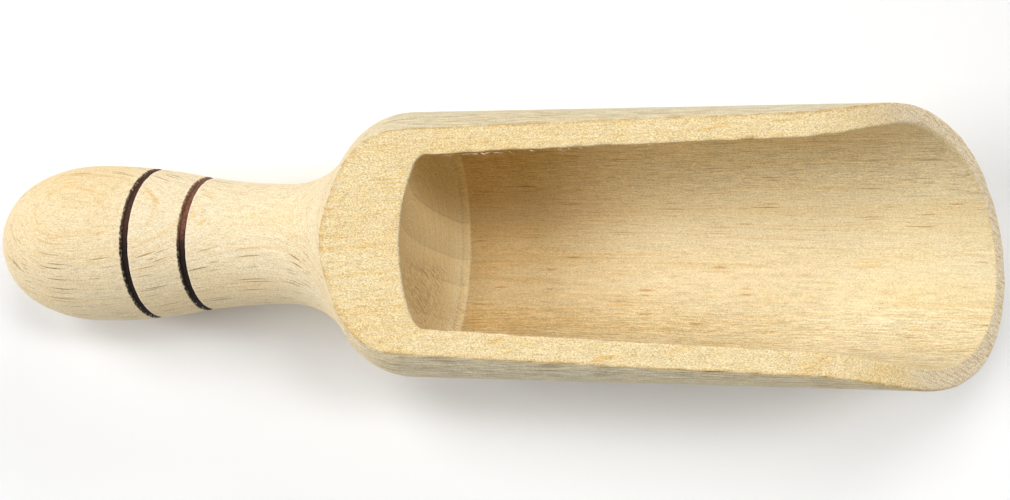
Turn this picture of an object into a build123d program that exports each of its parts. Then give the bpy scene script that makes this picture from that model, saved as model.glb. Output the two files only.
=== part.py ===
from build123d import *
import math
import os

# A wooden measuring scoop, turned from one piece of beech, lying as it rests on a table.
# Its weight sits behind the bowl, so it leans back on its knob and lifts its mouth.
# Stations are measured along the turning axis from the end of the knob.

# Turned outline
overall_length = 176.0
body_radius = 22.5
belly_station = 17.6
belly_radius = 14.0
belly_arc_radius = 24.0
neck_station = 54.2
neck_radius = 10.5
cove_radius = 14.5
shoulder_radius = 12.5

# Hollow of the bowl
wall = 3.5
end_inset = 4.8
dome_radius = 36.0
dome_corner_radius = 2.5

# Sawn flat and sanded mouth
flat_height = 13.5
flat_slope_angle = 3.0
mouth_bend_radius = 27.0
mouth_rake_radius = 200.0
mouth_rake_angle = 56.5
mouth_skew_angle = 5.9
edge_break = 0.4

# Burnt grooves
rear_groove_station = 29.2
front_groove_station = 38.8
groove_width = 1.2
groove_depth = 0.7
char_thickness = 0.4

# How far a cut runs past the wood
overrun = 5.0


def grip_radius(station):
    """Radius of the turned handle between its belly and its neck."""
    if station < belly_station + grip_run / 2:
        return belly_radius - sagitta(station - belly_station)
    return neck_radius + sagitta(neck_station - station)


def sagitta(run):
    """Drop of the long handle curve at a distance along the axis from its crest."""
    return grip_arc_radius - math.sqrt(grip_arc_radius**2 - run**2)


# The nose arc runs into the belly arc, whose crest lies at the belly station
nose_radius = (2 * belly_arc_radius * belly_radius - belly_station**2 - belly_radius**2) / (
    2 * (belly_arc_radius - belly_station)
)
nose_run = belly_station - nose_radius
belly_turn = math.degrees(math.atan2(nose_run, belly_arc_radius - belly_radius))

# Two equal arcs, one outward and one inward, join the belly to the neck
grip_run = neck_station - belly_station
grip_drop = belly_radius - neck_radius
grip_arc_radius = (grip_run**2 + grip_drop**2) / (4 * grip_drop)
grip_turn = math.degrees(math.asin(grip_run / 2 / grip_arc_radius))

# The cove at the neck runs into the rounded shoulder of the bowl
shoulder_rise = body_radius - shoulder_radius - neck_radius - cove_radius
shoulder_run = math.sqrt((cove_radius + shoulder_radius) ** 2 - shoulder_rise**2)
shoulder_station = neck_station + shoulder_run
cove_turn = math.degrees(math.atan2(shoulder_run, -shoulder_rise))

# The hollow starts a little in front of the shoulder
bore_radius = body_radius - wall
bowl_end_station = shoulder_station + end_inset

# Resting lean: one straight line touches the belly arc and the shoulder arc from below
belly_centre_height = belly_arc_radius - belly_radius
shoulder_centre_height = shoulder_radius - body_radius
rest_run = shoulder_station - belly_station
rest_rise = shoulder_centre_height - belly_centre_height
rest_lean = math.atan2(-rest_rise, rest_run) - math.asin(
    (belly_arc_radius - shoulder_radius) / math.hypot(rest_run, rest_rise)
)

# Where the end of the knob lies when the scoop stands on the ground, centred over the origin
shoulder_low = (
    shoulder_station * math.sin(rest_lean)
    + shoulder_centre_height * math.cos(rest_lean)
    - shoulder_radius
)
reach_back = nose_radius * (math.cos(rest_lean) - 1)
reach_front = overall_length * math.cos(rest_lean) + body_radius * math.sin(rest_lean)
knob_end = Vector(-(reach_back + reach_front) / 2, 0, -shoulder_low)
along = Vector(math.cos(rest_lean), 0, math.sin(rest_lean))

# Side view of the scoop: local X runs along the turning axis, local Y away from the axis
side_view = Plane(origin=knob_end, x_dir=along, z_dir=(0, -1, 0))
turning_axis = Axis(knob_end, along)


def flat_at(station):
    """Height of the sawn flat above the turning axis."""
    fall = (station - bowl_end_station) * math.tan(math.radians(flat_slope_angle))
    return flat_height - fall


# The mouth bends down from the flat and rakes forward to the lip on a long arc. The bend's
# centre lies its own radius below the flat, and touches the rake arc from inside.
flat_direction = Vector(1, 0).rotate(Axis.Z, -flat_slope_angle)
flat_normal = flat_direction.rotate(Axis.Z, 90)
lip = Vector(overall_length, -body_radius)
lip_normal = Vector(0, 1).rotate(Axis.Z, -mouth_rake_angle)
rake_centre = lip - lip_normal * mouth_rake_radius
below_flat = Vector(bowl_end_station, flat_height) - flat_normal * mouth_bend_radius
from_rake = below_flat - rake_centre
bend_reach = math.sqrt(
    (mouth_rake_radius - mouth_bend_radius) ** 2 - from_rake.dot(flat_normal) ** 2
)
bend_centre = below_flat + flat_direction * (bend_reach - from_rake.dot(flat_direction))
bend_start = bend_centre + flat_normal * mouth_bend_radius
bend_turn = flat_normal.get_angle(bend_centre - rake_centre)
rake_turn = mouth_rake_angle - flat_slope_angle - bend_turn

# The mouth is sanded a little askew: the far side is cut back further than the near side.
# The skewed direction lies in the flat, so the flat itself stays level across the scoop.
flat_lean = rest_lean - math.radians(flat_slope_angle)
skew_share = math.tan(math.radians(mouth_skew_angle))
across = Vector(
    -skew_share * math.cos(flat_lean), 1, -skew_share * math.sin(flat_lean)
)

# The domed end of the hollow, met by its corner arc
dome_reach = dome_radius - dome_corner_radius
corner_centre_radius = bore_radius - dome_corner_radius
dome_centre_station = bowl_end_station + math.sqrt(dome_reach**2 - corner_centre_radius**2)
dome_turn = math.degrees(math.asin(corner_centre_radius / dome_reach))
bottom_station = dome_centre_station - dome_radius

grooves = {
    "burnt_ring_rear": rear_groove_station,
    "burnt_ring_front": front_groove_station,
}

# Body of the scoop: handle, shoulder and bowl in one piece of beech
with BuildPart() as scoop_body:
    with BuildSketch(side_view) as turned_outline:
        with BuildLine():
            nose = JernArc((0, 0), (0, 1), nose_radius, belly_turn - 90)
            belly = JernArc(nose @ 1, nose % 1, belly_arc_radius, -belly_turn)
            grip = JernArc(belly @ 1, belly % 1, grip_arc_radius, -grip_turn)
            waist = JernArc(grip @ 1, grip % 1, grip_arc_radius, grip_turn)
            cove = JernArc(waist @ 1, waist % 1, cove_radius, cove_turn)
            shoulder = JernArc(cove @ 1, cove % 1, shoulder_radius, -cove_turn)
            front = (overall_length + overrun, body_radius)
            Polyline(shoulder @ 1, front, (front[0], 0), (0, 0))
        make_face()
    revolve(axis=turning_axis)

    with BuildSketch(side_view) as hollow_outline:
        with BuildLine():
            dome = JernArc((bottom_station, 0), (0, 1), dome_radius, -dome_turn)
            corner = JernArc(dome @ 1, dome % 1, dome_corner_radius, dome_turn - 90)
            hollow_front = (overall_length + 2 * overrun, bore_radius)
            Polyline(corner @ 1, hollow_front, (hollow_front[0], 0), (bottom_station, 0))
        make_face()
    revolve(axis=turning_axis, mode=Mode.SUBTRACT)

    with BuildSketch(side_view) as mouth_outline:
        with BuildLine():
            flat = Line((neck_station, flat_at(neck_station)), bend_start)
            bend = JernArc(bend_start, flat_direction, mouth_bend_radius, -bend_turn)
            rake = JernArc(bend @ 1, bend % 1, mouth_rake_radius, -rake_turn)
            Polyline(
                rake @ 1,
                rake @ 1 + (rake % 1) * overrun,
                (overall_length + 2 * overrun, -body_radius - overrun),
                (overall_length + 2 * overrun, body_radius + overrun),
                (neck_station, body_radius + overrun),
                flat @ 0,
            )
        make_face()
    extrude(amount=body_radius + overrun, dir=across, both=True, mode=Mode.SUBTRACT)
    # The edges are put in one order, so that each build rounds them alike
    rim_edges = scoop_body.edges(Select.LAST).filter_by(GeomType.LINE, reverse=True)
    fillet(rim_edges.sort_by(Axis.Y), edge_break)

    with BuildSketch(side_view) as groove_outlines:
        for station in grooves.values():
            with Locations((station, grip_radius(station))):
                Rectangle(groove_width, 2 * groove_depth)
    revolve(axis=turning_axis, mode=Mode.SUBTRACT)
scoop_body.part.label = "scoop_body"

# Burnt rings: a thin layer of char on the bottom of each groove
burnt_rings = []
for name, station in grooves.items():
    with BuildPart() as burnt_ring:
        with BuildSketch(side_view):
            groove_floor = grip_radius(station) - groove_depth
            with Locations((station, groove_floor)):
                Rectangle(groove_width, char_thickness, align=(Align.CENTER, Align.MIN))
        revolve(axis=turning_axis)
    burnt_ring.part.label = name
    burnt_rings.append(burnt_ring.part)

os.makedirs("parts", exist_ok=True)
for piece in [scoop_body.part, *burnt_rings]:
    export_step(piece, f"parts/{piece.label}.step")
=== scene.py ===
"""Looks of a turned beech measuring scoop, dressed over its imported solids."""

import math

import bpy
import numpy as np
from mathutils import Matrix, Vector


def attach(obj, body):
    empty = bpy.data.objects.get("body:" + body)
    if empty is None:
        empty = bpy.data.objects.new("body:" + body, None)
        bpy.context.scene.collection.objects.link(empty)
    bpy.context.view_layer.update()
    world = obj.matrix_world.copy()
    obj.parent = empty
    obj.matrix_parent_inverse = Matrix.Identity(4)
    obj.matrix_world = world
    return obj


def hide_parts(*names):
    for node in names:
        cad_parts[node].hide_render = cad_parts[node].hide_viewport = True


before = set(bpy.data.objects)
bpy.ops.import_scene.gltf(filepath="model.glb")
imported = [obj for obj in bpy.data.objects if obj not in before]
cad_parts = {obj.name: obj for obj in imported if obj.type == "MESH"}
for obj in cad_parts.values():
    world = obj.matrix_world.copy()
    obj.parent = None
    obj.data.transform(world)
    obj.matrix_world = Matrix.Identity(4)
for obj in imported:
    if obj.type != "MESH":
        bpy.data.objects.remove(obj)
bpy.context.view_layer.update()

MM = 0.001

# Sizes of the scoop in millimetres; stations run along the turning axis from the knob's end
LENGTH = 176.0
BODY_RADIUS = 22.5
BELLY_STATION = 17.6
BELLY_RADIUS = 14.0
BELLY_ARC = 24.0
NECK_STATION = 54.2
NECK_RADIUS = 10.5
COVE_ARC = 14.5
SHOULDER_ARC = 12.5
BORE_RADIUS = 19.0
END_INSET = 4.8
DOME_ARC = 36.0
DOME_CORNER_ARC = 2.5
FLAT_HEIGHT = 13.5
FLAT_SLOPE = math.radians(3.0)
MOUTH_BEND_ARC = 27.0
MOUTH_RAKE_ARC = 200.0
MOUTH_RAKE = math.radians(56.5)
MOUTH_SKEW = math.tan(math.radians(5.9))
GROOVES = (29.2, 38.8)
GROOVE_DEPTH = 0.7
CHAR_THICKNESS = 0.4
OVERRUN = 5.0

# Edge roundings, and what turning and burning left: a ripple, low ridges and ragged grooves
OUTER_EDGE = 0.45
INNER_EDGE = 0.3
EDGE_UNEVENNESS = 0.3
MOUTH_CHAMFER = 0.8
RIPPLE = 0.0016
TOOL_LINES = (10.6, 17.9)
TOOL_LINE_HEIGHT = 0.07
TOOL_LINE_WIDTH = 0.22
GROOVE_BACK_WALL = (-0.66, -0.48)
GROOVE_FRONT_WALL = (0.38, 0.72)
GROOVE_WANDER = 0.035

# Steps of the outlines' tables, and of the searches for places on them
TABLE_STEP = 0.02
COARSE_STRIDE = 25
REFINING_PASSES = 4
HALVINGS = 24

# Mesh of the scoop: columns below and above the cut, and rows along each stretch
LOW_COUNT, TOP_COUNT, BACK_ROWS, MOUTH_ROWS = 110, 44, 18, 60
CORNER_ROWS, CORNER_REACH, SIDE_ROWS = 50, 7.0, 104
EDGE_STEPS = 4
BAND_STEPS = 9
OUTER_ROW_STEP, INNER_ROW_STEP, FINE_ROW_STEP = 0.65, 0.7, 0.12
GROOVE_FINE_REACH, LINE_FINE_REACH = 1.4, 0.6

# Where the mesh's rows change: last full ring outside, start of the fan at the mouth, and
# stations before which the cut's back edge lies; angles run from the bottom
CLOSED_STATION = 58.0
FAN_STATION = 142.0
FAN_ANGLE = math.radians(108)
OUTER_BACK_STATION, INNER_BACK_STATION = 76.0, 81.0
OUTER_TOP_ANGLE, INNER_TOP_ANGLE = math.radians(132), math.radians(142)

# Char rings: columns, rows, half width, unevenness, and how deep they reach into the wood
RING_COUNT, RING_ROWS = 300, 11
RING_REACH = 0.55
RING_WANDER, RING_UNEVENNESS = 0.03, 0.015
RING_ROOT = 0.15

# Torn fibres: count, a cluster and a spread along the rim, lengths, half widths and droop
FIBRE_COUNT = 40
FIBRE_CLUSTER = (10.0, 2.2)
FIBRE_SPREAD = (3.0, 38.0)
FIBRE_LENGTHS = (0.4, 1.3)
FIBRE_WIDTHS = (0.04, 0.08)
FIBRE_DROOP = 0.3

# Growth of the wood: tilt of its layers towards the far side, and depth of the pith
LAYER_TILT = math.radians(24)
PITH_DEPTH = 70.0

# Colours of the surfaces, linear
TURNED_COLOUR = (0.885, 0.765, 0.55, 1)
SAWN_COLOUR = (0.845, 0.71, 0.455, 1)
HOLLOW_COLOUR = (0.835, 0.72, 0.485, 1)
END_COLOUR = (0.89, 0.75, 0.53, 1)
DOME_COLOUR = (0.84, 0.70, 0.42, 1)
# Pale scratches, and the painted highlight on the turned lines of the dome
PALE_SCRATCH_AND_HIGHLIGHT_COLOUR = (0.85, 0.76, 0.58, 1)
WALL_COLOUR = (0.95, 0.80, 0.68, 1)
CHAR_COLOUR = (0.014, 0.008, 0.006, 1)
BROWN_COLOUR = (0.18, 0.077, 0.046, 1)
FIBRE_DARK_COLOUR = (0.55, 0.40, 0.24, 1)
FIBRE_PALE_COLOUR = (0.88, 0.80, 0.66, 1)
FLOOR_COLOUR = (0.97, 0.97, 0.97, 1)

# Tints of whole regions: outside of the bowl, knob, painted shade at the back of the hollow, edges
# and shade
BODY_TINT = (0.78, 0.815, 0.84, 1)
KNOB_TINT = (0.98, 0.935, 0.855, 1)
BACK_SHADE_TINT = (0.91, 0.82, 0.68, 1)
EDGE_TINT = (0.74, 0.60, 0.40, 1)
SHADE_TINT = (1.0, 0.94, 0.82, 1)

# Tints of the wood's patterns, broad ones first
WARM_TINT = (1.0, 0.95, 0.83, 1)
BAND_TINT = (0.98, 0.94, 0.85, 1)
LINE_TINT = (0.96, 0.88, 0.73, 1)
SPECK_TINT = (1.0, 0.95, 0.82, 1)
GRAIN_TINT = (1.0, 0.93, 0.76, 1)
SPOT_TINT = (0.98, 0.84, 0.60, 1)
DASH_TINT = (0.38, 0.29, 0.17, 1)
HOLLOW_DASH_TINT = (0.50, 0.37, 0.23, 1)
FLECK_TINT = (0.70, 0.45, 0.24, 1)
STROKE_TINT = (0.72, 0.62, 0.50, 1)
TORN_TINT = (0.66, 0.55, 0.40, 1)
FIBRE_TINT = (0.8, 0.7, 0.5, 1)

# Sizes of the patterns in millimetres: along the grain, across it and through its layers
DRIFT_SIZE = (45, 16, 16)
WARM_SIZE = (26, 8, 8)
BAND_SIZE = (80, 30, 1.8)
LINE_SIZE = (30, 11, 0.26)
SPECK_SIZE = (2.2, 0.30, 0.30)
MOTTLE_SIZE = (0.27, 0.15, 0.15)
LONG_MARK_SIZE = (8.5, 2.6, 0.20)
SHORT_MARK_SIZE = (3.4, 1.2, 0.17)
FLECK_SIZE = (4.4, 0.8, 0.36)
DOT_SIZE = (1.2, 0.22, 0.22)
STROKE_SIZE = (5.0, 0.22, 2.0)
TORN_SIZE = (2.4, 0.30, 1.6)
TOOL_RING_SIZE = (0.4, 1, 1)
RAGGED_SIZE = (0.9, 0.45, 0.45)
WORN_SIZE = (3.0, 1.0, 1.0)
STREAK_SIZE = (3.4, 0.6, 0.15)
PORE_SIZE = (0.9, 0.18, 0.12)
RELIEF_SIZE = (2.2, 0.3, 0.3)
CHAR_PATCH_SIZE = (2.5, 2.5, 2.5)
CHAR_SPECK_SIZE = (0.35, 0.22, 0.22)
FIBRE_SPOT_SIZE = (1.6, 1.2, 1.2)
FIBRE_FINE_SIZE = (0.6, 0.1, 0.1)

# Where a look fades in, in millimetres: along the axis, sideways, and out from the axis
BODY_STATIONS = (62.0, 82.0)
KNOB_STATIONS = (32.0, 24.0)
BACK_SHADE_STATIONS = (122.0, 84.0)
BROWN_STATIONS = (32.0, 36.0)
KNOB_SIDES = (-9.0, 3.0)
NEAR_SIDES = (-12.0, -16.0)
WALL_SIDES = (7.0, 15.0)
TORN_SIDES = (-0.5, -5.0)
TORN_RADII = (17.0, 12.0)

# Wander of the layers in millimetres, and the share of cells that have no fleck
LAYER_DRIFT = 1.4
FLECK_CHANCE = 0.93

# How strongly the fine patterns change the brightness
STREAK_TONE = 0.36
BODY_STREAK_TONE = 0.8
PORE_TONE = 0.25
ROUGH_STREAK_TONE = 0.55
ROUGH_PORE_TONE = 0.45
ROUGH_MOTTLE_TONE = 0.3
MOTTLE_TONE = 1.0
SAWN_MOTTLE_TONE = 0.7
STIPPLE_TONE = 1.0
RING_TONE = 0.7

# Bands of brightness across the domed end of the hollow: place and strength, and their slope,
# the length over which each fades, and its brightness and that of the dark line at its end
BANDS = ((12.5, 0.3), (8.6, 1.0), (1.8, 0.8), (-3.3, 0.8), (-11.0, 0.4))
BAND_SLOPE = 0.22
BAND_FADE = 6.5
BAND_TONE = 0.14
BAND_LINE_TONE = 0.06

# Pale scratches on the near side of the bowl: station at the axis, slope, lowest and highest
SCRATCHES = ((91.6, 0.42, 3.0, 11.5), (90.2, 0.30, 6.0, 12.0), (93.0, 0.38, 2.5, 6.5))

# Camera, in metres and millimetres of lens
CAMERA_PLACE = (0.010907, -0.006087, 0.202713)
CAMERA_FORWARD = (-0.04906, 0.02924, -0.99837)
CAMERA_UP = (-0.00943, 0.99951, 0.02973)
LENS = 37.77
SENSOR_WIDTH = 36.0

# Half width of the table, in metres
FLOOR_REACH = 2.0

# Lamps: name, azimuth, elevation and width in degrees, and strength
LAMPS = (
    ("left", 180, 42, 25, 0.38),
    ("left_low", 140, 30, 22, 0.05),
    ("left_high", 160, 70, 22, 0.10),
    ("left_near", 200, 30, 22, 0.06),
    ("far", 120, 60, 22, 0.28),
    ("far_low", 65, 25, 22, 0.22),
    ("right", 20, 50, 12, 0.14),
    ("right_high", 36, 60, 12, 0.13),
    ("right_low", 10, 40, 12, 0.05),
    ("near_fill", 222, 20, 22, 0.13),
)


def trace(start, heading, moves):
    """Dense table of a chain of lines (length,) and arcs (radius, turn): place, heading, run."""
    x, y = start
    rows = [(x, y, heading, 0.0)]
    run = 0.0
    for move in moves:
        length = move[0] if len(move) == 1 else abs(move[0] * move[1])
        turn = 0.0 if len(move) == 1 else move[1]
        count = max(2, int(length / TABLE_STEP))
        bend = turn / length
        for k in range(1, count + 1):
            d = length * k / count
            if turn:
                px = x + (math.sin(heading + bend * d) - math.sin(heading)) / bend
                py = y - (math.cos(heading + bend * d) - math.cos(heading)) / bend
            else:
                px, py = x + d * math.cos(heading), y + d * math.sin(heading)
            rows.append((px, py, heading + bend * d, run + d))
        x, y, heading, run = rows[-1]
    return np.array(rows)


def at(table, run):
    """Place and heading of a table at a run along it."""
    return [np.interp(run, table[:, 3], table[:, c]) for c in range(3)]


# Turned outline, the same arcs as the solid's
nose_arc = (2 * BELLY_ARC * BELLY_RADIUS - BELLY_STATION**2 - BELLY_RADIUS**2) / (
    2 * (BELLY_ARC - BELLY_STATION)
)
belly_turn = math.atan2(BELLY_STATION - nose_arc, BELLY_ARC - BELLY_RADIUS)
grip_run = NECK_STATION - BELLY_STATION
grip_drop = BELLY_RADIUS - NECK_RADIUS
grip_arc = (grip_run**2 + grip_drop**2) / (4 * grip_drop)
grip_turn = math.asin(grip_run / 2 / grip_arc)
shoulder_rise = BODY_RADIUS - SHOULDER_ARC - NECK_RADIUS - COVE_ARC
shoulder_run = math.sqrt((COVE_ARC + SHOULDER_ARC) ** 2 - shoulder_rise**2)
shoulder_station = NECK_STATION + shoulder_run
cove_turn = math.atan2(shoulder_run, -shoulder_rise)
outer = trace((0.0, 0.0), math.pi / 2, [
    (nose_arc, belly_turn - math.pi / 2),
    (BELLY_ARC, -belly_turn),
    (grip_arc, -grip_turn),
    (grip_arc, grip_turn),
    (COVE_ARC, cove_turn),
    (SHOULDER_ARC, -cove_turn),
    (LENGTH + OVERRUN - shoulder_station,),
])

# Hollow of the bowl: dome, corner and bore
bowl_end = shoulder_station + END_INSET
dome_reach = DOME_ARC - DOME_CORNER_ARC
dome_turn = math.asin((BORE_RADIUS - DOME_CORNER_ARC) / dome_reach)
dome_bottom = bowl_end + dome_reach * math.cos(dome_turn) - DOME_ARC
inner = trace((dome_bottom, 0.0), math.pi / 2, [
    (DOME_ARC, -dome_turn),
    (DOME_CORNER_ARC, dome_turn - math.pi / 2),
    (LENGTH + OVERRUN - bowl_end,),
])

# Side view of the sawn flat and the mouth
rest_run = shoulder_station - BELLY_STATION
rest_rise = (SHOULDER_ARC - BODY_RADIUS) - (BELLY_ARC - BELLY_RADIUS)
LEAN = math.atan2(-rest_rise, rest_run) - math.asin(
    (BELLY_ARC - SHOULDER_ARC) / math.hypot(rest_run, rest_rise)
)


def flat_at(station):
    """Height of the sawn flat above the turning axis."""
    return FLAT_HEIGHT - (station - bowl_end) * math.tan(FLAT_SLOPE)


flat_along = np.array([math.cos(FLAT_SLOPE), -math.sin(FLAT_SLOPE)])
flat_out = np.array([math.sin(FLAT_SLOPE), math.cos(FLAT_SLOPE)])
lip_out = np.array([math.sin(MOUTH_RAKE), math.cos(MOUTH_RAKE)])
rake_centre = np.array([LENGTH, -BODY_RADIUS]) - lip_out * MOUTH_RAKE_ARC
below_flat = np.array([bowl_end, FLAT_HEIGHT]) - flat_out * MOUTH_BEND_ARC
from_rake = below_flat - rake_centre
bend_reach = math.sqrt((MOUTH_RAKE_ARC - MOUTH_BEND_ARC) ** 2 - (from_rake @ flat_out) ** 2)
bend_centre = below_flat + flat_along * (bend_reach - from_rake @ flat_along)
bend_start = bend_centre + flat_out * MOUTH_BEND_ARC
bend_turn = math.atan2(*(bend_centre - rake_centre)) - FLAT_SLOPE
rake_turn = MOUTH_RAKE - FLAT_SLOPE - bend_turn
cut = trace((NECK_STATION, flat_at(NECK_STATION)), -FLAT_SLOPE, [
    ((bend_start[0] - NECK_STATION) / math.cos(FLAT_SLOPE),),
    (MOUTH_BEND_ARC, -bend_turn),
    (MOUTH_RAKE_ARC, -rake_turn),
    (OVERRUN,),
])

# Direction along which the mouth is cut across, and the resting place
ACROSS = np.array([-MOUTH_SKEW * math.cos(FLAT_SLOPE), 1.0, MOUTH_SKEW * math.sin(FLAT_SLOPE)])
shoulder_low = (
    shoulder_station * math.sin(LEAN)
    + (SHOULDER_ARC - BODY_RADIUS) * math.cos(LEAN)
    - SHOULDER_ARC
)
reach_back = nose_arc * (math.cos(LEAN) - 1)
reach_front = LENGTH * math.cos(LEAN) + BODY_RADIUS * math.sin(LEAN)
KNOB_END = np.array([-(reach_back + reach_front) / 2, 0.0, -shoulder_low])
TO_WORLD = np.array([
    [math.cos(LEAN), 0.0, math.sin(LEAN)],
    [0.0, 1.0, 0.0],
    [-math.sin(LEAN), 0.0, math.cos(LEAN)],
])


def to_world(points):
    """From (station, sideways, height) in millimetres to the frame in metres."""
    return (np.asarray(points) @ TO_WORLD + KNOB_END) * MM


def cut_at(points):
    """Signed distance above the cut, the cut's normal, and the run along its side view."""
    u = points[..., 0] - ACROSS[0] * points[..., 1]
    v = points[..., 2] - ACROSS[2] * points[..., 1]
    flat = np.stack([u.ravel(), v.ravel()], 1)
    coarse = cut[::COARSE_STRIDE]
    gap = (flat[:, None, 0] - coarse[None, :, 0]) ** 2 + (flat[:, None, 1] - coarse[None, :, 1]) ** 2
    run = coarse[gap.argmin(1), 3]
    for _ in range(REFINING_PASSES):
        x, y, heading = at(cut, run)
        run = run + (flat[:, 0] - x) * np.cos(heading) + (flat[:, 1] - y) * np.sin(heading)
    x, y, heading = at(cut, run)
    dx, dz = np.cos(heading), np.sin(heading)
    distance = (flat[:, 1] - y) * dx - (flat[:, 0] - x) * dz
    normal = np.stack([-dz, ACROSS[0] * dz - ACROSS[2] * dx, dx], 1)
    size = np.linalg.norm(normal, axis=1)
    shape = points.shape[:-1]
    return (
        (distance / size).reshape(shape),
        (normal / size[:, None]).reshape(shape + (3,)),
        run.reshape(shape),
    )


def smooth(value, low, high):
    """Smooth step from 0 at low to 1 at high."""
    f = np.clip((value - low) / (high - low), 0.0, 1.0)
    return f * f * (3.0 - 2.0 * f)


def wobble(seed, shortest, longest, count=16):
    """Smooth seeded unevenness over points in millimetres, about -1 to 1."""
    rng = np.random.default_rng(seed)
    directions = rng.normal(size=(count, 3))
    directions /= np.linalg.norm(directions, axis=1)[:, None]
    lengths = np.exp(rng.uniform(math.log(shortest), math.log(longest), count))
    waves = directions * (2 * math.pi / lengths)[:, None]
    phases = rng.uniform(0, 2 * math.pi, count)

    def value(points):
        return np.sin(points @ waves.T + phases).sum(-1) / math.sqrt(2 * count)

    return value


edge_wave = wobble(3, 2.5, 9.0)
ripple_wave = wobble(5, 14.0, 60.0)
groove_wave = wobble(8, 0.9, 5.0)
char_wave = wobble(13, 0.8, 3.0)


def outer_edge(points):
    """Radius of the sanded outer edge of the cut."""
    return OUTER_EDGE * (1 + EDGE_UNEVENNESS * edge_wave(points))


def inner_edge(points):
    """Radius of the inner edge, broken wider on the far side of the mouth."""
    side = np.arctan2(points[..., 1], -points[..., 2])
    wide = smooth(points[..., 0], 150, 160) * smooth(side, 0.35, 0.8) * (1 - smooth(side, 1.7, 2.0))
    return INNER_EDGE * (1 + EDGE_UNEVENNESS * edge_wave(points)) + MOUTH_CHAMFER * wide


class Turned:
    """A turned surface trimmed by the cut, with room left for its rounded edge."""

    def __init__(self, table, side, edge):
        self.table, self.side, self.edge = table, side, edge

    def point(self, run, angle):
        """Point on the surface; the angle is from the bottom, towards the far side."""
        s, r, _ = at(self.table, run)
        return np.stack([s, r * np.sin(angle), -r * np.cos(angle)], -1)

    def normal(self, run, angle):
        """Normal that points out of the wood."""
        heading = at(self.table, run)[2]
        out = np.stack([
            -np.sin(heading),
            np.cos(heading) * np.sin(angle),
            -np.cos(heading) * np.cos(angle),
        ], -1)
        return out * self.side

    def excess(self, run, angle):
        """Above zero where the edge rounding or the cut has taken the surface away."""
        point = self.point(run, angle)
        distance, cut_normal, _ = cut_at(point)
        facing = (cut_normal * self.normal(run, angle)).sum(-1)
        return distance + self.edge(point) * (1 - facing)

    def solve_run(self, angle, low, high):
        """Run at which the surface ends, for each angle."""
        low, high = np.full_like(angle, low), np.full_like(angle, high)
        for _ in range(HALVINGS):
            middle = (low + high) / 2
            over = self.excess(middle, angle) > 0
            low, high = np.where(over, low, middle), np.where(over, middle, high)
        return (low + high) / 2

    def solve_angle(self, run, sign):
        """Angle at which the surface ends, for each run."""
        low, high = np.zeros_like(run), np.full_like(run, math.pi)
        for _ in range(HALVINGS):
            middle = (low + high) / 2
            over = self.excess(run, sign * middle) > 0
            low, high = np.where(over, low, middle), np.where(over, middle, high)
        return sign * (low + high) / 2


def skin(surface, closed_runs, top_angle, mouth_run, mouth_angle, run_guess):
    """Grid over a trimmed turned surface: points, normals, faces and the loop on its edge.

    Full rings lead up to the cut's back edge, then open rows run along the bowl and fan out
    to the rim of the mouth.
    """
    low = np.linspace(-top_angle, top_angle, LOW_COUNT + 1)
    top = np.linspace(top_angle, 2 * math.pi - top_angle, TOP_COUNT + 1)[1:-1]
    ring = np.concatenate([low, top])
    size = len(ring)
    rows = [(np.full(size, q), ring) for q in closed_runs[1:]]
    start = closed_runs[-1]
    top_end = surface.solve_run(np.append(top, top_angle), start, run_guess)
    corner_run = top_end[-1]
    ends = np.full(size, corner_run)
    ends[LOW_COUNT + 1:] = top_end[:-1]
    for m in range(1, BACK_ROWS + 1):
        rows.append((start + (ends - start) * m / BACK_ROWS, ring))
    ring_rows = len(rows)

    # Open rows, first straight along the bowl
    share = np.linspace(0, 1, LOW_COUNT + 1)
    opened = []
    corner_end = corner_run + CORNER_REACH
    along = np.concatenate([
        np.linspace(corner_run, corner_end, CORNER_ROWS + 1)[1:],
        np.linspace(corner_end, mouth_run, SIDE_ROWS + 1)[1:],
    ])
    near, far = surface.solve_angle(along, -1), surface.solve_angle(along, 1)
    for q, a, b in zip(along, near, far):
        opened.append((np.full(LOW_COUNT + 1, q), a + (b - a) * share))

    # Then the fan
    fan = -mouth_angle + 2 * mouth_angle * share
    mouth_end = surface.solve_run(fan, mouth_run, surface.table[-1, 3])
    f = np.linspace(0, 1, MOUTH_ROWS + 1)[1:]
    near = surface.solve_angle(mouth_run + f * (mouth_end[0] - mouth_run), -1)
    far = surface.solve_angle(mouth_run + f * (mouth_end[-1] - mouth_run), 1)
    near[-1], far[-1] = -mouth_angle, mouth_angle
    for k, a, b in zip(f, near, far):
        opened.append((mouth_run + k * (mouth_end - mouth_run), a + (b - a) * share))

    runs = np.concatenate([[0.0]] + [r for r, _ in rows] + [r for r, _ in opened])
    angles = np.concatenate([[0.0]] + [a for _, a in rows] + [a for _, a in opened])
    faces = [(0, 1 + (j + 1) % size, 1 + j) for j in range(size)]
    for m in range(ring_rows - 1):
        a, b = 1 + m * size, 1 + (m + 1) * size
        faces += [(a + j, a + (j + 1) % size, b + (j + 1) % size, b + j) for j in range(size)]
    last_ring = 1 + (ring_rows - 1) * size
    first_open = 1 + ring_rows * size
    width = LOW_COUNT + 1
    starts = [last_ring] + [first_open + m * width for m in range(len(opened))]
    for a, b in zip(starts, starts[1:]):
        faces += [(a + j, a + j + 1, b + j + 1, b + j) for j in range(LOW_COUNT)]
    loop = [last_ring + LOW_COUNT + k for k in range(TOP_COUNT)]
    loop += starts[:-1]
    loop += [starts[-1] + j for j in range(LOW_COUNT)]
    loop += [a + LOW_COUNT for a in starts[:0:-1]]
    if surface.side < 0:
        faces = [f[::-1] for f in faces]
    return surface.point(runs, angles), surface.normal(runs, angles), faces, loop


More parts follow.
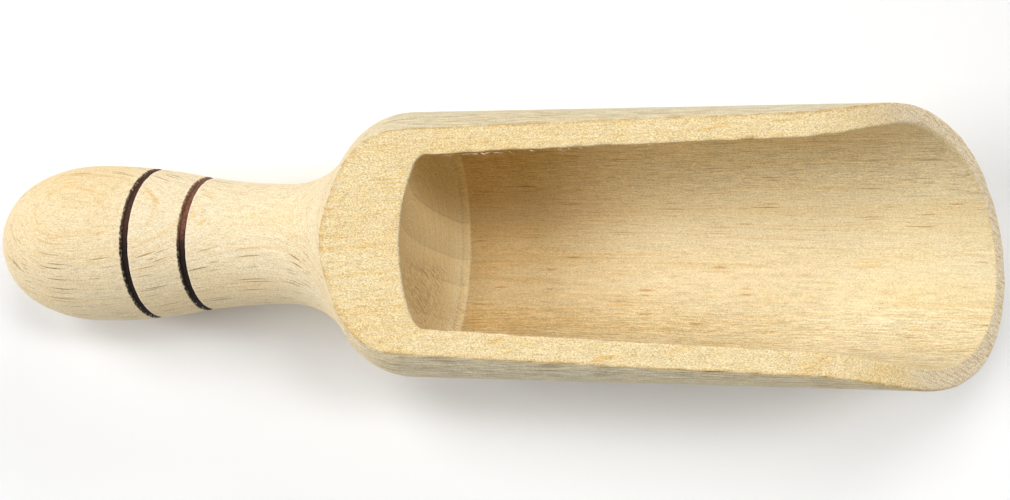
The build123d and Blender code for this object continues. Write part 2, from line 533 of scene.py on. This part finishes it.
def closed_rows(end, step, fine):
    """Runs of closed rings, evenly spaced, with closer ones round each fine spot."""
    runs = list(np.linspace(0, end, int(end / step) + 1))
    for middle, reach, fine_step in fine:
        runs = [q for q in runs if abs(q - middle) > reach + step * 0.4]
        runs += list(np.linspace(middle - reach, middle + reach, int(2 * reach / fine_step) + 1))
    return np.array(sorted(runs))


def run_of(table, column, value):
    """Run along a table at a given station (column 0) or radius (column 1)."""
    stop = int(np.argmax(table[:, column] >= value))
    return float(table[stop, 3])


def pulled_in(points, drop):
    """Points moved towards the turning axis by a drop in millimetres."""
    radius = np.maximum(np.hypot(points[:, 1], points[:, 2]), 1e-6)
    share = 1 - drop / radius
    return points * np.stack([np.ones_like(share), share, share], 1)


def groove_drop(points):
    """Depth of the burnt grooves: a steep back wall and a sloping front wall."""
    drop = 0.0
    for station in GROOVES:
        across = points[:, 0] - station + GROOVE_WANDER * groove_wave(points)
        inside = smooth(across, *GROOVE_BACK_WALL) * (1 - smooth(across, *GROOVE_FRONT_WALL))
        drop = drop + GROOVE_DEPTH * inside
    return drop


def tool_lines(points):
    """Low ridges that the turning tool left in the hollow's domed end."""
    radius = np.hypot(points[:, 1], points[:, 2])
    rise = 0.0
    for line in TOOL_LINES:
        rise = rise + TOOL_LINE_HEIGHT * np.exp(-(((radius - line) / TOOL_LINE_WIDTH) ** 2))
    return rise * (points[:, 0] < bowl_end)


def build_scoop():
    """The whole scoop as one closed mesh, with masks of its cut, its edges and its hollow."""
    outside, inside = Turned(outer, 1, outer_edge), Turned(inner, -1, inner_edge)
    near_grooves = [(run_of(outer, 0, g), GROOVE_FINE_REACH, FINE_ROW_STEP) for g in GROOVES]
    outer_rows = closed_rows(run_of(outer, 0, CLOSED_STATION), OUTER_ROW_STEP, near_grooves)
    line_run = run_of(inner, 1, TOOL_LINES[0])
    near_line = [(line_run, LINE_FINE_REACH, FINE_ROW_STEP)]
    inner_rows = closed_rows(line_run + LINE_FINE_REACH, INNER_ROW_STEP, near_line)
    o_points, o_normals, o_faces, o_loop = skin(
        outside, outer_rows, OUTER_TOP_ANGLE,
        run_of(outer, 0, FAN_STATION), FAN_ANGLE, run_of(outer, 0, OUTER_BACK_STATION),
    )
    i_points, i_normals, i_faces, i_loop = skin(
        inside, inner_rows, INNER_TOP_ANGLE,
        run_of(inner, 0, FAN_STATION), FAN_ANGLE, run_of(inner, 0, INNER_BACK_STATION),
    )
    # Rounded edges and the band of the cut between them
    rings = []
    for surface, points, normals, loop in (
        (outside, o_points, o_normals, o_loop), (inside, i_points, i_normals, i_loop)
    ):
        start, n1 = points[loop], normals[loop]
        edge = surface.edge(start)[:, None]
        centre = start - edge * n1
        distance, n2, _ = cut_at(centre)
        turn = np.arccos(np.clip((n1 * n2).sum(1), -1, 1))[:, None]
        part = []
        for k in range(1, EDGE_STEPS + 1):
            f = k / EDGE_STEPS
            direction = (np.sin((1 - f) * turn) * n1 + np.sin(f * turn) * n2) / np.sin(turn)
            part.append(centre + direction * (edge + f * (-distance[:, None] - edge)))
        rings.append(part)
    outer_foot, inner_foot = rings[0][-1], rings[1][-1]
    outer_run, inner_run = cut_at(outer_foot)[2], cut_at(inner_foot)[2]
    band = []
    for k in range(1, BAND_STEPS):
        f = k / BAND_STEPS
        f = 0.5 - 0.2 * math.cos(math.pi * f) - 0.6 * (0.5 - f)
        run = outer_run + f * (inner_run - outer_run)
        y = outer_foot[:, 1] + f * (inner_foot[:, 1] - outer_foot[:, 1])
        u, v, _ = at(cut, run)
        band.append(np.stack([u + ACROSS[0] * y, y, v + ACROSS[2] * y], 1))
    bridge = rings[0] + band + rings[1][::-1]

    o_points = pulled_in(o_points, groove_drop(o_points))
    i_points = i_points + i_normals * tool_lines(i_points)[:, None]
    vertices = np.concatenate([o_points, i_points] + bridge)
    vertices = pulled_in(
        vertices,
        np.hypot(vertices[:, 1], vertices[:, 2]) * RIPPLE * (1 + ripple_wave(vertices)) / 2,
    )
    count = len(o_loop)
    faces = list(o_faces) + [tuple(v + len(o_points) for v in f) for f in i_faces]
    offset = len(o_points) + len(i_points)
    lines = [np.array(o_loop)]
    lines += [offset + k * count + np.arange(count) for k in range(len(bridge))]
    lines += [np.array(i_loop) + len(o_points)]
    for a, b in zip(lines, lines[1:]):
        faces += [(a[k], a[(k + 1) % count], b[(k + 1) % count], b[k]) for k in range(count)]

    sawn = np.zeros(len(vertices))
    edge = np.zeros(len(vertices))
    hollow = np.zeros(len(vertices))
    hollow[len(o_points):offset] = 1
    for k in range(len(bridge)):
        part = slice(offset + k * count, offset + (k + 1) * count)
        sawn[part] = min(1.0, (k + 1) / EDGE_STEPS)
        edge[part] = 1.0 if k in (1, 2) else 0.5 if k in (0, 3) else 0.0
    return vertices, faces, {"sawn": sawn, "edge": edge, "hollow": hollow}


def build_ring(station):
    """Charred floor of a groove: a low ragged band that sinks into the wood at its sides."""
    angles = np.linspace(0, 2 * math.pi, RING_COUNT + 1)[:-1]
    across = np.linspace(-1, 1, RING_ROWS)
    floor = at(outer, run_of(outer, 0, station))[1] - GROOVE_DEPTH
    place = np.stack([
        station + 0 * angles, floor * np.sin(angles), -floor * np.cos(angles)
    ], 1)
    shift = -RING_WANDER * groove_wave(place)
    reach = RING_REACH + RING_UNEVENNESS * char_wave(place)
    rows = []
    for f in across:
        row = place.copy()
        row[:, 0] += shift + f * reach
        lump = char_wave(row * 1.3)
        radius = floor + CHAR_THICKNESS * (1 - f**6) * (0.86 + 0.13 * lump)
        rows.append(row * np.stack([np.ones_like(radius), radius / floor, radius / floor], 1))
    root = (floor - RING_ROOT) / floor
    rows.append(place * [1, root, root])
    faces = []
    for m in range(len(rows)):
        a, b = m * RING_COUNT, (m + 1) % len(rows) * RING_COUNT
        faces += [
            (a + j, b + j, b + (j + 1) % RING_COUNT, a + (j + 1) % RING_COUNT)
            for j in range(RING_COUNT)
        ]
    return np.concatenate(rows), faces


def build_fibres():
    """Torn fibres that the saw left along the inner edge of the rim."""
    rng = np.random.default_rng(11)
    points, faces = [], []
    for k in range(FIBRE_COUNT):
        clustered = k % 5 < 3
        from_end = rng.normal(*FIBRE_CLUSTER) if clustered else rng.uniform(*FIBRE_SPREAD)
        station = bowl_end + from_end
        side = 1 if k % 6 else -1
        height = flat_at(station) - 0.12
        foot = np.array([station, side * (math.sqrt(BORE_RADIUS**2 - height**2) + 0.05), height])
        lean = np.array([rng.choice([-1, 1]), -side * rng.uniform(0.1, 0.6), rng.uniform(-0.2, 0.25)])
        length, width = rng.uniform(*FIBRE_LENGTHS), rng.uniform(*FIBRE_WIDTHS)
        first = len(points)
        for share in (0.0, 0.35, 0.7):
            middle = foot + lean * length * share - [0, 0, FIBRE_DROOP * length * share**2]
            reach = width * (1 - share)
            points += [middle + [0, reach, 0], middle + [0, -reach, 0], middle + [0, 0, reach]]
        points.append(foot + lean * length - [0, 0, FIBRE_DROOP * length])
        for m in (0, 3):
            for j in range(3):
                a, b = first + m + j, first + m + (j + 1) % 3
                faces.append((a, b, b + 3, a + 3))
        faces += [(first + 6 + j, first + 6 + (j + 1) % 3, first + 9) for j in range(3)]
        faces.append((first + 2, first + 1, first))
    return np.array(points), faces


def new_object(name, vertices, faces, masks=None):
    """Smooth mesh object from points in the frame, in metres."""
    mesh = bpy.data.meshes.new(name)
    mesh.from_pydata([tuple(v) for v in vertices], [], [tuple(int(i) for i in f) for f in faces])
    for key, values in (masks or {}).items():
        mesh.attributes.new(key, "FLOAT", "POINT").data.foreach_set("value", values)
    mesh.update()
    mesh.shade_smooth()
    piece = bpy.data.objects.new(name, mesh)
    bpy.context.scene.collection.objects.link(piece)
    return piece


class Graph:
    """A material whose nodes are written as expressions."""

    def __init__(self, name):
        self.material = bpy.data.materials.new(name)
        self.material.use_nodes = True
        self.tree = self.material.node_tree
        self.shader = self.tree.nodes["Principled BSDF"]

    def set(self, socket, value):
        if isinstance(value, bpy.types.NodeSocket):
            self.tree.links.new(value, socket)
        else:
            socket.default_value = value

    def add(self, kind, values, output=0, **settings):
        node = self.tree.nodes.new("ShaderNode" + kind)
        for key, setting in settings.items():
            setattr(node, key, setting)
        for key, value in values.items():
            self.set(node.inputs[key], value)
        return node.outputs[output]

    def maths(self, operation, *values):
        return self.add("Math", dict(enumerate(values)), operation=operation)

    def times(self, first, *others):
        """Product of two or more values."""
        for other in others:
            first = self.maths("MULTIPLY", first, other)
        return first

    def plus(self, a, b):
        return self.maths("ADD", a, b)

    def minus(self, a, b):
        return self.maths("SUBTRACT", a, b)

    def most(self, a, b):
        return self.maths("MAXIMUM", a, b)

    def size(self, value):
        return self.maths("ABSOLUTE", value)

    def raised(self, base, share, amount):
        """A value raised by a share of an amount."""
        return self.maths("MULTIPLY_ADD", share, amount, base)

    def reach(self, a, b):
        """Distance from zero of a point with two coordinates."""
        squares = self.plus(self.maths("POWER", a, 2.0), self.maths("POWER", b, 2.0))
        return self.maths("SQRT", squares)

    def step(self, value, low, high, start=0.0, end=1.0):
        """Smooth step between two values."""
        spans = {0: value, 1: low, 2: high, 3: start, 4: end}
        return self.add("MapRange", spans, interpolation_type="SMOOTHSTEP")

    def mix(self, share, a, b):
        """Colour between two others."""
        return self.add("Mix", {0: share, 6: a, 7: b}, output=2, data_type="RGBA")

    def tint(self, share, colour, by):
        """Colour multiplied by another one, in part."""
        values = {0: share, 6: colour, 7: by}
        return self.add("Mix", values, output=2, data_type="RGBA", blend_type="MULTIPLY")

    def toned(self, colour, tone):
        """Colour made brighter or darker."""
        return self.add("VectorMath", {0: colour, "Scale": tone}, operation="SCALE")

    def vector(self, a, b, c):
        return self.add("CombineXYZ", {0: a, 1: b, 2: c})

    def parts(self, vector):
        return self.add("SeparateXYZ", {0: vector}).node.outputs

    def dot(self, vector, direction):
        values = {0: vector, 1: [float(v) for v in direction]}
        return self.add("VectorMath", values, output="Value", operation="DOT_PRODUCT")

    def sized(self, place, size):
        return self.add("VectorMath", {0: place, 1: [1 / v for v in size]}, operation="MULTIPLY")

    def noise(self, place, size, detail=2.0, roughness=0.5):
        """Noise of about a given size in millimetres along each axis."""
        values = {"Vector": self.sized(place, size), "Scale": 1.0, "Detail": detail}
        return self.add("TexNoise", values | {"Roughness": roughness})

    def lenses(self, place, size, chance, middle=0.14, rim=0.44):
        """Scattered lens-shaped marks, in the cells of a stretched pattern above a chance."""
        values = {"Vector": self.sized(place, size), "Scale": 1.0, "Randomness": 1.0}
        distance = self.add("TexVoronoi", values)
        draw = self.add("SeparateColor", {0: distance.node.outputs["Color"]})
        picked = self.step(self.minus(draw, chance), 0.0, 0.03)
        return self.times(picked, self.step(distance, rim, middle))

    def finish(self, colour, roughness, gloss, height, strength, depth):
        """The material, with its colour, its gloss and its fine relief."""
        bump = self.add("Bump", {"Strength": strength, "Distance": depth, "Height": height})
        self.set(self.shader.inputs["Base Color"], colour)
        self.set(self.shader.inputs["Roughness"], roughness)
        self.set(self.shader.inputs["Specular IOR Level"], gloss)
        self.set(self.shader.inputs["Normal"], bump)
        return self.material


def axis_place(graph):
    """Place in millimetres: along the turning axis, sideways, and up from it."""
    values = {
        "Vector": graph.add("TexCoord", {}, output="Object"),
        "Location": [float(v) * MM for v in KNOB_END],
        "Rotation": (0.0, -LEAN, 0.0),
        "Scale": (MM, MM, MM),
    }
    return graph.add("Mapping", values, vector_type="TEXTURE")


def burnt_colour(graph, place, station, side):
    """Char, browner on the far side of the front groove."""
    patches = graph.times(graph.noise(place, CHAR_PATCH_SIZE, 2.0), 10.0)
    brown = graph.step(graph.plus(side, patches), 2.0, 8.5)
    brown = graph.times(brown, graph.step(station, *BROWN_STATIONS, 0.3, 1.0))
    return graph.mix(brown, CHAR_COLOUR, BROWN_COLOUR)


class Beech(Graph):
    """Turned beech: its growth layers and marks, its cut faces and its scorched grooves."""

    def __init__(self):
        super().__init__("beech_wood")
        self.place = axis_place(self)
        self.station, self.side, self.height = self.parts(self.place)
        self.sawn, self.edge, self.hollow = [
            self.add("Attribute", {}, output="Fac", attribute_name=key)
            for key in ("sawn", "edge", "hollow")
        ]
        self.mottle = self.noise(self.place, MOTTLE_SIZE, 2.0, 0.7)

        # Growth layers: rings round a pith that lies far below the scoop
        layer_out = (0, math.sin(LAYER_TILT), math.cos(LAYER_TILT))
        self.across = self.dot(self.place, (0, math.cos(LAYER_TILT), -math.sin(LAYER_TILT)))
        self.up = self.plus(self.dot(self.place, layer_out), PITH_DEPTH)
        drift = self.times(self.noise(self.place, DRIFT_SIZE, 1.0), LAYER_DRIFT)
        depth = self.minus(self.plus(self.reach(self.across, self.up), drift), PITH_DEPTH)
        self.grain = self.vector(self.station, self.across, depth)

        # How far the surface cuts through the layers, and where it is end grain
        normal = self.add("TexCoord", {}, output="Normal")
        layer_normal = np.array(layer_out) @ TO_WORLD
        self.slant = self.step(self.size(self.dot(normal, layer_normal)), 0.95, 0.72)
        self.end_face = self.size(self.dot(normal, TO_WORLD[0]))
        self.end = self.step(self.end_face, 0.45, 0.86)
        self.rim_end = self.times(self.end, self.sawn)

        # Parts of the scoop
        in_dome = self.step(self.station, bowl_end + 0.15, bowl_end - 0.15)
        self.dome = self.times(self.hollow, in_dome)
        self.radius = self.reach(self.side, self.height)
        outside = self.minus(1.0, self.most(self.sawn, self.hollow))
        self.body = self.times(outside, self.step(self.station, *BODY_STATIONS))
        self.near_side = self.times(outside, self.step(self.side, *NEAR_SIDES))
        # Steep sides of the bowl, inside and on the near side, where the cut fibres show more
        wall = self.times(self.hollow, self.step(self.size(self.side), *WALL_SIDES))
        self.rough = self.most(wall, self.near_side)

    def base_colour(self):
        """Colour of each face, with the broad growth bands, the dark lines and the specks."""
        colour = self.mix(self.sawn, TURNED_COLOUR, SAWN_COLOUR)
        colour = self.mix(self.hollow, colour, HOLLOW_COLOUR)
        warm = self.step(self.noise(self.place, WARM_SIZE, 2.0), 0.44, 0.66, 0.0, 0.55)
        bands = self.step(self.noise(self.grain, BAND_SIZE, 1.0), 0.42, 0.64, 0.0, 0.55)
        lines = self.step(self.noise(self.grain, LINE_SIZE, 1.0), 0.55, 0.72, 0.0, 0.8)
        specks = self.step(self.noise(self.place, SPECK_SIZE, 2.0), 0.44, 0.62)
        grain_share = self.step(self.mottle, 0.60, 0.38, 0.0, 0.8)
        knob = self.step(self.station, *KNOB_STATIONS)
        # Painted shade: the hollow darker and warmer towards its domed end, standing in for the shade
        # and bounced light of that deep corner
        back = self.step(self.station, *BACK_SHADE_STATIONS)
        for share, by in (
            (warm, WARM_TINT),
            (bands, BAND_TINT),
            (lines, LINE_TINT),
            (self.times(specks, self.sawn), SPECK_TINT),
            (self.times(grain_share, self.step(self.hollow, 0.0, 1.0, 1.0, 0.4)), GRAIN_TINT),
            (self.body, BODY_TINT),
            (self.times(knob, self.step(self.side, *KNOB_SIDES)), KNOB_TINT),
            (self.times(self.hollow, back), BACK_SHADE_TINT),
        ):
            colour = self.tint(share, colour, by)
        return colour

    def scratched(self, colour):
        """Pale scratches on the near side of the bowl."""
        for start, slope, low, high in SCRATCHES:
            gap = self.size(self.minus(self.raised(self.station, self.height, slope), start))
            share = self.times(
                self.step(gap, 0.20, 0.06, 0.0, 0.8),
                self.near_side,
                self.step(self.height, low - 0.8, low + 0.8),
                self.step(self.height, high + 0.8, high - 0.8),
            )
            colour = self.mix(share, colour, PALE_SCRATCH_AND_HIGHLIGHT_COLOUR)
        return colour

    def marked(self, colour):
        """Lens-shaped marks: dark where the layers run out, pale orange spots elsewhere."""
        mark = self.mix(self.slant, SPOT_TINT, self.mix(self.hollow, DASH_TINT, HOLLOW_DASH_TINT))
        bent = self.times(self.sawn, self.step(self.end_face, 0.10, 0.25))
        sparse = self.minus(1.0, self.most(self.dome, bent))
        long_chance = self.raised(self.raised(0.80, self.hollow, 0.12), self.rough, -0.05)
        short_chance = self.raised(self.raised(0.84, self.hollow, 0.08), self.rough, -0.14)
        long_marks = self.lenses(self.grain, LONG_MARK_SIZE, long_chance)
        short_marks = self.lenses(self.grain, SHORT_MARK_SIZE, short_chance)
        flecks = self.lenses(self.grain, FLECK_SIZE, FLECK_CHANCE)
        colour = self.tint(self.times(long_marks, sparse), colour, mark)
        colour = self.tint(self.times(short_marks, sparse, 0.6), colour, mark)
        return self.tint(self.times(flecks, sparse, self.hollow, 0.75), colour, FLECK_TINT)

    def end_grained(self, colour):
        """End grain of the mouth, with dark radial strokes."""
        colour = self.mix(self.rim_end, colour, END_COLOUR)
        radial = self.vector(self.station, self.across, self.up)
        strokes = self.step(self.noise(radial, STROKE_SIZE, 1.0), 0.50, 0.62)
        return self.tint(self.times(strokes, self.rim_end, 0.85), colour, STROKE_TINT)

    def domed(self, colour):
        """Domed end of the hollow: torn grain on its near side, and two turned lines at its corner
        painted pale, a painted highlight where they catch the light.
        """
        colour = self.mix(self.dome, colour, DOME_COLOUR)
        diagonal = self.vector(
            self.plus(self.side, self.height), self.minus(self.side, self.height), self.station
        )
        torn = self.step(self.noise(diagonal, TORN_SIZE, 2.0, 0.6), 0.46, 0.60)
        zone = self.times(self.step(self.side, *TORN_SIDES), self.step(self.radius, *TORN_RADII))
        colour = self.tint(self.times(torn, zone, self.dome, 0.85), colour, TORN_TINT)
        # Painted highlight: the turned line near the dome's rim, stronger on the near side, and the
        # line where the dome meets the bore, drawn pale where they catch the light
        gap = self.size(self.minus(self.radius, TOOL_LINES[1]))
        highlight_side = self.step(self.side, 9.0, -10.0, 0.25, 0.75)
        pale = self.times(self.step(gap, 0.34, 0.12), highlight_side, self.dome)
        bore_gap = self.size(self.minus(self.station, bowl_end))
        corner_highlight = self.times(self.step(bore_gap, 0.30, 0.05, 0.0, 0.4), self.hollow)
        return self.mix(self.most(pale, corner_highlight), colour, PALE_SCRATCH_AND_HIGHLIGHT_COLOUR)

    def scorched(self, colour):
        """Scorched back lip of each groove, and its pale front wall."""
        ragged = self.times(self.noise(self.place, RAGGED_SIZE, 2.0), 0.5)
        burnt = burnt_colour(self, self.place, self.station, self.side)
        for groove in GROOVES:
            gap = self.minus(self.plus(self.station, ragged), groove + 0.25)
            scorch = self.times(self.step(gap, -0.84, -0.58), self.step(gap, 0.62, 0.40))
            front = self.times(self.step(gap, 0.50, 0.62), self.step(gap, 1.05, 0.85), 0.5)
            colour = self.mix(scorch, colour, burnt)
            colour = self.mix(front, colour, WALL_COLOUR)
        return colour

    def worn(self, colour):
        """Darker sanded edges."""
        share = self.step(self.noise(self.place, WORN_SIZE), 0.4, 0.6, 0.3, 0.9)
        share = self.times(share, self.step(self.end, 0.0, 0.6, 1.0, 0.0))
        return self.tint(self.times(self.edge, share), colour, EDGE_TINT)

    def band_tone(self):
        """Stepped brightness of the bands that cross the domed end of the hollow."""
        place = self.dot(self.place, (0, 1, -BAND_SLOPE))
        tone = 1.0
        for band, strength in BANDS:
            fall = self.times(
                self.step(place, band - BAND_FADE, band - 0.2),
                BAND_TONE * strength,
                self.step(place, band + 0.1, band - 0.1),
            )
            line = self.size(self.minus(place, band + 0.15))
            line_tone = self.step(line, 0.35, 0.05, 0.0, BAND_LINE_TONE * strength)
            tone = self.plus(tone, self.times(self.minus(fall, line_tone), self.dome))
        return tone

    def fine_tone(self):
        """Brightness of the bands across the domed end, the fine streaks, the pores and the mottling.
        """
        streaks = self.noise(self.grain, STREAK_SIZE, 2.0)
        pores = self.noise(self.grain, PORE_SIZE, 1.0)
        dots = self.noise(self.place, DOT_SIZE, 2.0)
        rings = self.noise(self.vector(self.radius, 0.0, 0.0), TOOL_RING_SIZE, 2.0)
        streak_tone = self.raised(STREAK_TONE, self.body, BODY_STREAK_TONE)
        mottle_tone = self.raised(MOTTLE_TONE, self.sawn, SAWN_MOTTLE_TONE)
        tone = self.band_tone()
        for pattern, strength in (
            (streaks, self.raised(streak_tone, self.rough, ROUGH_STREAK_TONE)),
            (pores, self.raised(PORE_TONE, self.rough, ROUGH_PORE_TONE)),
            (self.mottle, self.raised(mottle_tone, self.rough, ROUGH_MOTTLE_TONE)),
            (dots, self.times(self.rim_end, STIPPLE_TONE)),
            (rings, self.times(self.dome, RING_TONE)),
        ):
            tone = self.raised(tone, self.minus(pattern, 0.5), strength)
        return tone


def beech_material():
    wood = Beech()
    colour = wood.base_colour()
    for change in (
        wood.scratched, wood.marked, wood.end_grained, wood.domed, wood.scorched, wood.worn
    ):
        colour = change(colour)
    tone = wood.fine_tone()
    colour = wood.toned(wood.tint(wood.step(tone, 1.02, 0.76), colour, SHADE_TINT), tone)
    roughness = wood.step(wood.mottle, 0.2, 0.8, 0.52, 0.68)
    relief = wood.plus(wood.mottle, wood.noise(wood.place, RELIEF_SIZE, 1.0))
    return wood.finish(colour, roughness, 0.25, relief, 0.6, 0.12 * MM)


def char_material():
    graph = Graph("charred_wood")
    place = axis_place(graph)
    station, side, _ = graph.parts(place)
    specks = graph.noise(place, CHAR_SPECK_SIZE, 3.0, 0.65)
    tone = graph.step(specks, 0.25, 0.75, 0.45, 1.7)
    colour = graph.toned(burnt_colour(graph, place, station, side), tone)
    roughness = graph.step(specks, 0.2, 0.8, 0.6, 0.85)
    return graph.finish(colour, roughness, 0.12, specks, 0.8, 0.2 * MM)


def fibre_material():
    graph = Graph("torn_fibre")
    place = axis_place(graph)
    spots = graph.step(graph.noise(place, FIBRE_SPOT_SIZE, 1.0), 0.42, 0.58)
    fine = graph.noise(place, FIBRE_FINE_SIZE, 2.0)
    colour = graph.mix(spots, FIBRE_DARK_COLOUR, FIBRE_PALE_COLOUR)
    colour = graph.tint(graph.step(fine, 0.4, 0.6, 0.0, 0.3), colour, FIBRE_TINT)
    return graph.finish(colour, 0.7, 0.5, fine, 0.3, 0.03 * MM)


def floor_material():
    graph = Graph("white_table")
    graph.set(graph.shader.inputs["Base Color"], FLOOR_COLOUR)
    graph.set(graph.shader.inputs["Roughness"], 0.9)
    graph.set(graph.shader.inputs["Specular IOR Level"], 0.0)
    return graph.material


def add_piece(name, shape, material, node=None):
    """A visible piece that rides the scoop's one body, in place of a solid if it is named."""
    vertices, faces = shape[:2]
    piece = new_object(name, to_world(vertices), faces, *shape[2:])
    piece.data.materials.append(material)
    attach(piece, "root")
    if node:
        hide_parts(node)
    return piece


def add_lamp(name, azimuth, elevation, width, strength):
    """A far soft lamp; angles in degrees, azimuth from the mouth towards the far side."""
    lamp = bpy.data.objects.new(name, bpy.data.lights.new(name, "SUN"))
    lamp.data.energy = strength * math.pi
    lamp.data.angle = math.radians(width)
    around, up = math.radians(azimuth), math.radians(elevation)
    towards = Vector((
        math.cos(around) * math.cos(up), math.sin(around) * math.cos(up), math.sin(up)
    ))
    lamp.rotation_euler = (-towards).to_track_quat("-Z", "Y").to_euler()
    lamp.location = towards
    bpy.context.scene.collection.objects.link(lamp)


def add_world():
    """White to the camera and in reflections; all the light comes from the lamps."""
    world = bpy.data.worlds.new("studio")
    bpy.context.scene.world = world
    world.use_nodes = True
    tree = world.node_tree
    path = tree.nodes.new("ShaderNodeLightPath")
    seen = path.outputs["Is Camera Ray"]
    for key in ("Is Glossy Ray", "Is Transmission Ray"):
        either = tree.nodes.new("ShaderNodeMath")
        either.operation = "MAXIMUM"
        tree.links.new(seen, either.inputs[0])
        tree.links.new(path.outputs[key], either.inputs[1])
        seen = either.outputs[0]
    background = tree.nodes["Background"]
    background.inputs["Color"].default_value = (1, 1, 1, 1)
    tree.links.new(seen, background.inputs["Strength"])


def add_camera():
    """Camera above the scoop, as the photographed view was taken."""
    camera = bpy.data.objects.new("camera", bpy.data.cameras.new("camera"))
    bpy.context.scene.collection.objects.link(camera)
    camera.data.lens = LENS
    camera.data.sensor_width = SENSOR_WIDTH
    camera.data.clip_start = 0.01
    back = -Vector(CAMERA_FORWARD).normalized()
    right = Vector(CAMERA_UP).cross(back).normalized()
    turn = Matrix((right, back.cross(right), back)).transposed()
    camera.matrix_world = Matrix.Translation(CAMERA_PLACE) @ turn.to_4x4()
    bpy.context.scene.camera = camera


beech = beech_material()
add_piece("scoop", build_scoop(), beech, "scoop_body")
add_piece("rim_fibres", build_fibres(), fibre_material())
char = char_material()
add_piece("ring_rear", build_ring(GROOVES[0]), char, "burnt_ring_rear")
add_piece("ring_front", build_ring(GROOVES[1]), char, "burnt_ring_front")

corners = [(x * FLOOR_REACH, y * FLOOR_REACH, 0) for x, y in ((-1, -1), (1, -1), (1, 1), (-1, 1))]
floor = new_object("floor", corners, [(0, 1, 2, 3)])
floor.data.materials.append(floor_material())

for lamp in LAMPS:
    add_lamp(*lamp)
add_world()
add_camera()
bpy.context.scene.view_settings.view_transform = "Standard"
